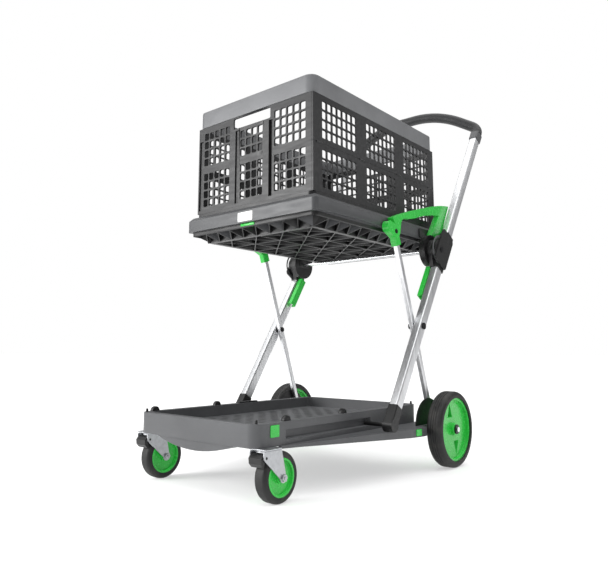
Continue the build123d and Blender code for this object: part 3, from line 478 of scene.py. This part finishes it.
class CART_OT_base(PieceOperator):
    """Soften the base tray and add its dented floor and studs"""

    bl_idname = "cart.base"
    bl_label = "Base tray"

    def make(self, colours, sizes):
        for node in ("base_tray", "side_inserts", "leg_ear_left", "leg_ear_right", "axle_caps"):
            soften(node, sizes.edge, sizes.segments)
        low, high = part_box("base_tray")
        floor = frame["record"]["mounts"][0]["pos_m"][2]
        front = low.y + 34 * MM
        across = 2 * 140 * MM
        self.dents(floor, front, across, sizes)
        self.rim_studs(low, high)

    def rim_studs(self, low, high):
        """Corner pins and half-round stops that locate a crate on the tray's rim."""
        bm = bmesh.new()
        middle = (low.x + high.x) / 2
        rim_inset = 8.5 * MM
        half = TRAY_HALF - rim_inset
        for _, sx in SIDES:
            x = middle + sx * half
            for behind in (12 * MM, 572 * MM):
                stud(bm, (x - sx * 4 * MM, low.y + behind, high.z), (0, 0, 1), 2.6 * MM, 7 * MM)
            stops = (36 * MM, 220 * MM) if sx < 0 else (90 * MM, 274 * MM)
            for behind in stops:
                made = bmesh.ops.create_cone(
                    bm,
                    cap_ends=True,
                    segments=40,
                    radius1=10 * MM,
                    radius2=10 * MM,
                    depth=9 * MM,
                    matrix=Matrix.Translation((x, low.y + behind, high.z))
                    @ Matrix.Rotation(math.pi / 2, 4, "Y"),
                )
                ends = [
                    edge
                    for edge in {e for v in made["verts"] for e in v.link_edges}
                    if len({round(v.co.x, 6) for v in edge.verts}) == 1
                ]
                bmesh.ops.bevel(
                    bm,
                    geom=ends,
                    offset=1.4 * MM,
                    affect="EDGES",
                    segments=2,
                    profile=0.5,
                    material=-1,
                )
        block_at = (middle - half, low.y + 325 * MM, high.z + 1 * MM)
        block_size = (9 * MM, 66 * MM, 5 * MM, 1)
        bmesh.ops.create_cube(
            bm, size=1, matrix=Matrix.Translation(block_at) @ Matrix.Diagonal(block_size)
        )
        new_piece("tray_rim_studs", bm, "base", FINISHES["black_plastic"])

    def dents(self, floor, front, across, sizes):
        """Staggered rows of shallow rimmed dents that stiffen the load floor; their bottoms are painted black as
        painted shade.
        """
        bm = bmesh.new()
        lip_high = 2.2 * MM
        rows = 24
        columns = 7
        step = across / columns
        for row in range(rows):
            shift = step / 4 * (1 if row % 2 else -1)
            for column in range(columns):
                x = (column - (columns - 1) / 2) * step + shift
                y = front + (row + 0.5) * sizes.dent_pitch
                ring = bmesh.ops.create_circle(
                    bm,
                    cap_ends=True,
                    segments=14,
                    radius=0.5,
                    matrix=Matrix.Translation((x, y, floor))
                    @ Matrix.Diagonal((sizes.dent_length, sizes.dent_width, 1, 1)),
                )
                face = ring["verts"][0].link_faces[0]
                bmesh.ops.inset_region(bm, faces=[face], thickness=1.0 * MM)
                bmesh.ops.translate(bm, verts=list(face.verts), vec=(0, 0, lip_high))
                bmesh.ops.inset_region(bm, faces=[face], thickness=0.8 * MM)
                bmesh.ops.inset_region(bm, faces=[face], thickness=0.9 * MM)
                bmesh.ops.translate(bm, verts=list(face.verts), vec=(0, 0, 0.3 * MM - lip_high))
                # the dent's bottom takes the black second slot: painted shade in the hollow
                face.material_index = 1
        shaded_bottoms = [face for face in bm.faces if face.material_index == 1]
        if shaded_bottoms[0].normal.z < 0:
            bmesh.ops.reverse_faces(bm, faces=bm.faces)
        piece = new_piece(
            "tray_floor_dents", bm, "base", FINISHES["base_plastic"]
        )
        # black nylon on the dent bottoms is painted shade
        piece.data.materials.append(FINISHES["black_plastic"])


class CART_OT_wheels(PieceOperator):
    """Make the tyres and soften the hubs"""

    bl_idname = "cart.wheels"
    bl_label = "Wheels"

    def make(self, colours, sizes):
        for side, _ in SIDES:
            for kind, body in (("rear", f"rear_wheel_{side}"), ("castor", f"castor_wheel_{side}")):
                self.tyre(f"{kind}_tyre_{side}", body, f"{kind}_hub_{side}", kind == "rear")
                soften(f"{kind}_hub_{side}", 0.7 * MM, sizes.segments)

    def tyre(self, node, body, hub, grooved):
        """A round-shouldered tyre, with shallow grooves round a rear one's tread."""
        low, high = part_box(node)
        hub_low, hub_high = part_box(hub)
        centre = (low + high) / 2
        half = (high.x - low.x) / 2
        outer = (high.z - low.z) / 2
        inner = (hub_high.z - hub_low.z) / 2 + 0.05 * MM
        shoulder = (outer - inner) * 0.62
        points = [(-half, inner), (-half, inner + (outer - inner) * 0.3)]
        for step in range(7):
            turn = math.radians(90 * step / 6)
            points.append(
                (-half + shoulder * (1 - math.cos(turn)), outer - shoulder * (1 - math.sin(turn)))
            )
        if grooved:
            for at in (-0.3, 0.0, 0.3):
                wide = 0.7 * MM
                points += [
                    (at * half - wide, outer),
                    (at * half - wide, outer - 1.1 * MM),
                    (at * half + wide, outer - 1.1 * MM),
                    (at * half + wide, outer),
                ]
        else:
            points += [(0, outer)]
        left = [(-along, radius) for along, radius in points if along < -half * 0.35]
        points += reversed(left)
        piece = turned(f"{node}_finished", points, centre, body, FINISHES["tyre_rubber"])
        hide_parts(node)


class CART_OT_castors(PieceOperator):
    """Soften the castor forks and pedals and add their nuts"""

    bl_idname = "cart.castors"
    bl_label = "Castors"

    def make(self, colours, sizes):
        for side, _ in SIDES:
            for node in ("castor_plate", "castor_fork", "castor_axle"):
                soften(f"{node}_{side}", sizes.sheet_edge, 1)
            soften(f"brake_pedal_{side}", sizes.edge, sizes.segments)
            low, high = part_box(f"castor_axle_{side}")
            middle = (low + high) / 2
            bm = bmesh.new()
            for end, face in ((-1, low.x), (1, high.x)):
                stud(bm, (face, middle.y, middle.z), (end, 0, 0), 3.4 * MM, 1.4 * MM, steps=6)
            new_piece(
                f"castor_nuts_{side}", bm, f"castor_{side}", FINISHES["zinc_steel"]
            )


class CART_OT_frame(PieceOperator):
    """Soften the legs, tubes, blocks and their bolts"""

    bl_idname = "cart.frame"
    bl_label = "Scissor frame"

    def make(self, colours, sizes):
        for side, _ in SIDES:
            for node in ("leg", "lower_tube", "upper_tube"):
                soften(f"{node}_{side}", 1.4 * MM, sizes.segments)
            for node in ("leg_block", "foot_socket", "joint_housing", "handle_joint"):
                soften(f"{node}_{side}", sizes.edge, sizes.segments)
            soften(f"release_lever_{side}", 0.7 * MM, sizes.segments)
        soften("leg_bolts", 0.5 * MM, sizes.segments)
        self.sockets()

    def sockets(self):
        """Hexagon socket screws in the leg blocks and the joints' covers."""
        for side, sx in SIDES:
            low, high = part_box(f"leg_block_{side}")
            face = high.x if sx > 0 else low.x
            bm = bmesh.new()
            self.screw(bm, Vector((face, self.block_pin_y(), BLOCK_PIN_Z)), (sx, 0, 0), 5.5 * MM)
            new_piece(
                f"block_screw_{side}", bm, "legs", FINISHES["black_bolts"]
            )
            low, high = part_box(f"handle_joint_{side}")
            face = high.x if sx > 0 else low.x
            pivot = JOINTS["handle_fold"]["pos_m"]
            bm = bmesh.new()
            self.screw(bm, Vector((face, pivot[1], pivot[2])), (sx, 0, 0), 8 * MM)
            new_piece(
                f"joint_screw_{side}", bm, "handle", FINISHES["black_bolts"]
            )

    def block_pin_y(self):
        """Where the leg's axis passes the block's pin height."""
        foot = JOINTS["leg_fold"]["pos_m"]
        cross = JOINTS["tube_fold"]["pos_m"]
        slope = (cross[1] - foot[1]) / (cross[2] - foot[2])
        return foot[1] + (BLOCK_PIN_Z - foot[2]) * slope

    def screw(self, bm, centre, axis, radius):
        """A pan head with a hexagon socket."""
        stud(bm, centre, axis, radius, 1.3 * MM)
        hole = bmesh.ops.create_circle(
            bm,
            cap_ends=True,
            segments=6,
            radius=radius * 0.5,
            matrix=Matrix.Translation(Vector(centre) + Vector(axis) * 1.35 * MM)
            @ Vector((0, 0, 1)).rotation_difference(Vector(axis)).to_matrix().to_4x4(),
        )
        face = hole["verts"][0].link_faces[0]
        bmesh.ops.inset_region(bm, faces=[face], thickness=radius * 0.14, depth=0)
        bmesh.ops.translate(bm, verts=list(face.verts), vec=Vector(axis) * -1.0 * MM)


class CART_OT_arms(PieceOperator):
    """Soften the green arms and their discs and add the discs' grey wear rings"""

    bl_idname = "cart.arms"
    bl_label = "Side arms and discs"

    def make(self, colours, sizes):
        for side, sx in SIDES:
            soften(f"side_arm_{side}", 1.6 * MM, 3)
            soften(f"joint_disc_{side}", sizes.edge, sizes.segments)
            self.crescent(side, sx)

    def crescent(self, side, sx):
        """Grey wear ring let into the disc's outer face."""
        low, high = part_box(f"joint_disc_{side}")
        pivot = JOINTS["deck_level"]["pos_m"]
        face = high.x if sx > 0 else low.x
        centre = Vector((face, pivot[1], pivot[2]))
        lift = sx * 0.12 * MM
        profile = [(0, 33 * MM), (lift, 33.5 * MM), (lift, 38 * MM), (0, 38.5 * MM)]
        turned(
            f"disc_ring_{side}", profile, centre, "deck", FINISHES["cap_plastic"]
        )


class CART_OT_deck(PieceOperator):
    """Soften the deck and latch and add the front badge"""

    bl_idname = "cart.deck"
    bl_label = "Deck"

    def make(self, colours, sizes):
        deck = soften("deck", sizes.edge, sizes.segments)
        # faces below the deck's top band get black nylon: painted shade on the deck's underside
        deck.data.materials.append(FINISHES["black_plastic"])
        low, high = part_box("deck")
        under = high.z - 37.5 * MM
        for face in deck.data.polygons:
            if face.center.z < under:
                face.material_index = 1
        latch = soften("deck_latch", 0.6 * MM, sizes.segments)
        latch.data.materials[0] = FINISHES["label"]
        self.tongue(low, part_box("deck_latch"))

    def tongue(self, deck_low, latch):
        """Green finger tongue under the deck's front edge, below the latch's pale face."""
        low, high = latch
        wide = high.x - low.x
        bm = bmesh.new()
        bmesh.ops.create_cube(
            bm,
            size=1,
            matrix=Matrix.Translation(
                ((low.x + high.x) / 2, deck_low.y + 15 * MM, low.z - 6.5 * MM)
            )
            @ Matrix.Diagonal((wide - 2 * MM, 18 * MM, 6 * MM, 1)),
        )
        bmesh.ops.bevel(
            bm,
            geom=bm.edges[:],
            offset=1.6 * MM,
            affect="EDGES",
            segments=3,
            profile=0.5,
            material=-1,
        )
        new_piece("latch_tongue", bm, "latch", FINISHES["green_plastic"])


class CART_OT_crate(PieceOperator):
    """Build the crate's grid walls, soften its floor and rim and add its hinge knuckles"""

    bl_idname = "cart.crate"
    bl_label = "Crate"

    def make(self, colours, sizes):
        low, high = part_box("crate_rim")
        self.middle = (low + high) / 2
        for side, _ in SIDES:
            for level in ("lower", "upper"):
                self.side_wall(f"crate_side_{side}_{level}", sizes)
        for node in ("crate_end_front", "crate_end_rear"):
            self.end_wall(node, sizes)
        soften("crate_floor", 0.6 * MM, 1)
        soften("crate_rim", sizes.edge, sizes.segments)
        self.knuckles()

    def side_wall(self, node, sizes):
        """Half of a long side: three fields of holes between solid posts."""
        low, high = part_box(node)
        middle = (low + high) / 2
        columns, rows = 7, 4
        fields = [
            (middle.y + at * sizes.field_pitch, middle.z, columns, rows) for at in (-1, 0, 1)
        ]
        self.wall(node, fields, [], [], sizes)

    def end_wall(self, node, sizes):
        """An end: three columns of fields, each beside a deep slot painted dark as painted shade, and the hand
        hole.
        """
        low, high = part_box(node)
        middle = (low + high) / 2
        fields, slots = [], []
        for column, columns in ((-1, 5), (0, 4), (1, 5)):
            at = column * sizes.end_field_pitch
            for row in (-1, 1):
                up = middle.z + row * sizes.end_row_gap
                rows = 4
                if column == 0 and row == 1:
                    up -= sizes.hole_rise / 2
                    rows = 3
                fields.append((at, up, columns, rows))
            edge = at - columns * sizes.hole_pitch / 2
            slots.append((edge - 15 * MM, edge - 3 * MM, low.z + 8 * MM, high.z - 34 * MM))
        hole = (-60 * MM, 60 * MM, high.z - 29 * MM, high.z - 3 * MM)
        self.wall(node, fields, slots, [hole], sizes)

    def cut(self, bm, faces, axis, values):
        """The faces that come of cutting faces at each value along an axis."""
        for value in values:
            parts = {item for face in faces for item in (face, *face.edges, *face.verts)}
            made = bmesh.ops.bisect_plane(
                bm, geom=list(parts), plane_co=axis * value, plane_no=axis
            )
            faces = [item for item in made["geom"] if isinstance(item, bmesh.types.BMFace)]
        return faces

    def carve(self, bm, box, across):
        """Cuts one rectangle out of the plate's faces and gives the faces inside it."""
        left, right, low, high = box
        axis = self.across_axis

        def reaches(face):
            ats = [vert.co[across] for vert in face.verts]
            ups = [vert.co.z for vert in face.verts]
            clear = 0.01 * MM
            return (
                max(ats) > left + clear
                and min(ats) < right - clear
                and max(ups) > low + clear
                and min(ups) < high - clear
            )

        faces = self.cut(bm, [face for face in bm.faces if reaches(face)], axis, (left, right))
        faces = [face for face in faces if reaches(face)]
        faces = self.cut(bm, faces, Vector((0, 0, 1)), (low, high))
        return [face for face in faces if reaches(face)]

    def wall(self, node, fields, slots, openings, sizes):
        """A thin wall with fields of round-cornered holes, sunk slots painted dark as painted shade, and plain
        openings.
        """
        low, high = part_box(node)
        across = 0 if high.x - low.x > high.y - low.y else 1
        thin = 1 - across
        self.across_axis = Vector((1, 0, 0) if across == 0 else (0, 1, 0))
        facing = Vector((0, 0, 0))
        facing[thin] = math.copysign(1, (low + high)[thin] / 2 - self.middle[thin])
        outer = high[thin] if facing[thin] > 0 else low[thin]
        thickness = high[thin] - low[thin]
        bm = bmesh.new()
        corners = []
        for at, up in ((low, low), (high, low), (high, high), (low, high)):
            corner = Vector((outer, outer, up.z))
            corner[across] = at[across]
            corners.append(bm.verts.new(corner))
        bm.faces.new(corners)
        holes = []
        for at, up, columns, rows in fields:
            wide, tall = columns * sizes.hole_pitch / 2, rows * sizes.hole_rise / 2
            cells = self.carve(bm, (at - wide, at + wide, up - tall, up + tall), across)
            lines = [at - wide + step * sizes.hole_pitch for step in range(1, columns)]
            cells = self.cut(bm, cells, self.across_axis, lines)
            lines = [up - tall + step * sizes.hole_rise for step in range(1, rows)]
            holes += self.cut(bm, cells, Vector((0, 0, 1)), lines)
        opened = [face for box in openings for face in self.carve(bm, box, across)]
        sunk = [face for box in slots for face in self.carve(bm, box, across)]
        spots = [face.calc_center_median() for face in sunk]
        bmesh.ops.inset_individual(bm, faces=holes, thickness=sizes.hole_post / 2)
        bmesh.ops.delete(bm, geom=holes + opened, context="FACES")
        back = bmesh.ops.extrude_face_region(bm, geom=bm.faces[:], use_keep_orig=True)
        moved = [item for item in back["geom"] if isinstance(item, bmesh.types.BMVert)]
        bmesh.ops.translate(bm, verts=moved, vec=facing * -thickness)
        bmesh.ops.recalc_face_normals(bm, faces=bm.faces)
        hole_edges = [edge for edge in bm.edges if self.through(edge, thin, across, low, high)]
        bmesh.ops.bevel(
            bm,
            geom=hole_edges,
            offset=sizes.hole_corner,
            affect="EDGES",
            segments=3,
            profile=0.5,
            material=-1,
        )
        self.sink_and_shade(bm, spots, facing, thickness * 0.72)
        piece = soften(node, 0.35 * MM, 1, bm)
        # the black second slot is painted shade in the sunk slots
        piece.data.materials.append(FINISHES["black_plastic"])

    def through(self, edge, thin, across, low, high):
        """Whether an edge runs through the wall at a hole's corner."""
        start, end = (vert.co for vert in edge.verts)
        along = abs(end[thin] - start[thin])
        if along < 0.9 * (high[thin] - low[thin]):
            return False
        clear = 0.1 * MM
        inside = low[across] + clear < start[across] < high[across] - clear
        return inside and low.z + clear < start.z < high.z - clear

    def sink_and_shade(self, bm, spots, facing, depth):
        """Pushes the outer faces at these spots into the wall and paints them and their sides black as painted
        shade.
        """
        for spot in spots:
            near = [face for face in bm.faces if face.normal.dot(facing) > 0.9]
            face = min(near, key=lambda item: (item.calc_center_median() - spot).length)
            made = bmesh.ops.extrude_discrete_faces(bm, faces=[face])
            for item in made["faces"]:
                bmesh.ops.translate(bm, verts=list(item.verts), vec=facing * -depth)
                item.material_index = 1
                for edge in item.edges:
                    for side in edge.link_faces:
                        side.material_index = 1

    def knuckles(self):
        """Hinge knuckles along the long sides' fold lines, and a pin at each corner."""
        for side, sx in SIDES:
            low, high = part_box(f"crate_side_{side}_lower")
            upper_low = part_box(f"crate_side_{side}_upper")[0]
            z = (high.z + upper_low.z) / 2
            face = (high.x if sx > 0 else low.x) - sx * 0.6 * MM
            bm = bmesh.new()
            wide = high.y - low.y
            for share in (0.04, 0.345, 0.655, 0.96):
                y = low.y + wide * share
                bmesh.ops.create_cone(
                    bm,
                    cap_ends=True,
                    segments=16,
                    radius1=2.4 * MM,
                    radius2=2.4 * MM,
                    depth=22 * MM,
                    matrix=Matrix.Translation((face, y, z)) @ Matrix.Rotation(math.pi / 2, 4, "X"),
                )
            new_piece(
                f"crate_knuckles_{side}", bm, "crate", FINISHES["crate_plastic"]
            )


class CART_OT_handle(PieceOperator):
    """Soften the grip and its caps"""

    bl_idname = "cart.handle"
    bl_label = "Handle"

    def make(self, colours, sizes):
        soften("handle_grip", sizes.edge, sizes.segments)
        for side, _ in SIDES:
            soften(f"grip_cap_{side}", 1.4 * MM, 3)


class CART_OT_stage(PieceOperator):
    """Set the floor, the lights and the camera"""

    bl_idname = "cart.stage"
    bl_label = "Stage"

    def make(self, colours, sizes):
        self.floor()
        self.lights()
        self.camera(sizes.lens)

    def floor(self):
        """A wide round floor, so that its edge never shows."""
        bm = bmesh.new()
        bmesh.ops.create_circle(bm, cap_ends=True, segments=64, radius=30)
        mesh = bpy.data.meshes.new("studio_floor")
        bm.to_mesh(mesh)
        bm.free()
        mesh.materials.append(floor_finish("paint_floor_pale", linear("F6F6F6")))
        floor = bpy.data.objects.new("studio_floor", mesh)
        bpy.context.scene.collection.objects.link(floor)
        world = bpy.data.worlds.new("studio_white")
        world.use_nodes = True
        tree = world.node_tree
        background = tree.nodes["Background"]
        background.inputs["Color"].default_value = (*linear("FFFFFF"), 1)
        path = add(tree, "ShaderNodeLightPath")
        # dark flags beside the object keep reflections low, as in a product studio
        strength = add(
            tree,
            "ShaderNodeMapRange",
            {"Value": path.outputs["Is Glossy Ray"], "To Min": 0.5, "To Max": 0.2},
        )
        shown = add(
            tree,
            "ShaderNodeMath",
            {0: strength.outputs["Result"], 1: path.outputs["Is Camera Ray"]},
            operation="MAXIMUM",
        )
        tree.links.new(shown.outputs["Value"], background.inputs["Strength"])
        bpy.context.scene.world = world
        bpy.context.scene.view_settings.view_transform = "Standard"

    def lights(self):
        """A large key from ahead, a small rim light from behind and an even ceiling."""
        for name, place_at, size, power in (
            ("key", (-1.7, -2.8, 1.2), 1.5, 80),
            ("rim", (2.2, 2.2, 1.7), 0.8, 5),
        ):
            light = bpy.data.lights.new(f"light_{name}", "AREA")
            light.size = size
            light.energy = power
            lamp = bpy.data.objects.new(light.name, light)
            lamp.location = place_at
            aim = Vector((0, 0, 0.5)) - Vector(place_at)
            lamp.rotation_euler = aim.to_track_quat("-Z", "Y").to_euler()
            bpy.context.scene.collection.objects.link(lamp)
        sky = bpy.data.lights.new("light_ceiling", "SUN")
        sky.energy = 2.9
        sky.use_shadow = False
        sky.angle = math.radians(100)
        lamp = bpy.data.objects.new(sky.name, sky)
        bpy.context.scene.collection.objects.link(lamp)

    def camera(self, lens):
        """A low camera near the front left corner, looking slightly up."""
        data = bpy.data.cameras.new("camera")
        data.sensor_width = 36
        data.lens = lens
        data.shift_x = 0.0215
        data.shift_y = -0.0381
        data.clip_end = 100
        yaw = math.radians(40.822)
        pitch = math.radians(8.348)
        roll = math.radians(0.15)
        turn = Euler((math.pi / 2 + pitch, 0, yaw)).to_matrix() @ Matrix.Rotation(roll, 3, "Z")
        camera = bpy.data.objects.new("camera", data)
        camera.matrix_world = Matrix.Translation((0.9527, -1.2601, 0.2817)) @ turn.to_4x4()
        bpy.context.scene.collection.objects.link(camera)
        bpy.context.scene.camera = camera


STEPS = (
    CART_OT_finishes,
    CART_OT_base,
    CART_OT_wheels,
    CART_OT_castors,
    CART_OT_frame,
    CART_OT_arms,
    CART_OT_deck,
    CART_OT_crate,
    CART_OT_handle,
    CART_OT_stage,
)


class CART_PT_panel(bpy.types.Panel):
    """Lists the cart's pieces, its colours and its sizes"""

    bl_label = "Shopping Cart"
    bl_space_type = "VIEW_3D"
    bl_region_type = "UI"
    bl_category = "Cart"

    def draw(self, context):
        for step in STEPS:
            self.layout.operator(step.bl_idname)
        for group in (context.scene.cart_colours, context.scene.cart_sizes):
            for name in group.bl_rna.properties.keys():
                if name not in ("rna_type", "name"):
                    self.layout.prop(group, name)


CLASSES = (CartColours, CartSizes, *STEPS, CART_PT_panel)


def register():
    """Adds the add-on's classes and its settings."""
    for item in CLASSES:
        bpy.utils.register_class(item)
    bpy.types.Scene.cart_colours = PointerProperty(type=CartColours)
    bpy.types.Scene.cart_sizes = PointerProperty(type=CartSizes)


def unregister():
    """Takes them away again."""
    del bpy.types.Scene.cart_sizes
    del bpy.types.Scene.cart_colours
    for item in reversed(CLASSES):
        bpy.utils.unregister_class(item)


def main():
    """Builds every piece."""
    register()
    for step in STEPS:
        group, name = step.bl_idname.split(".")
        getattr(getattr(bpy.ops, group), name)()


if __name__ == "__main__":
    main()
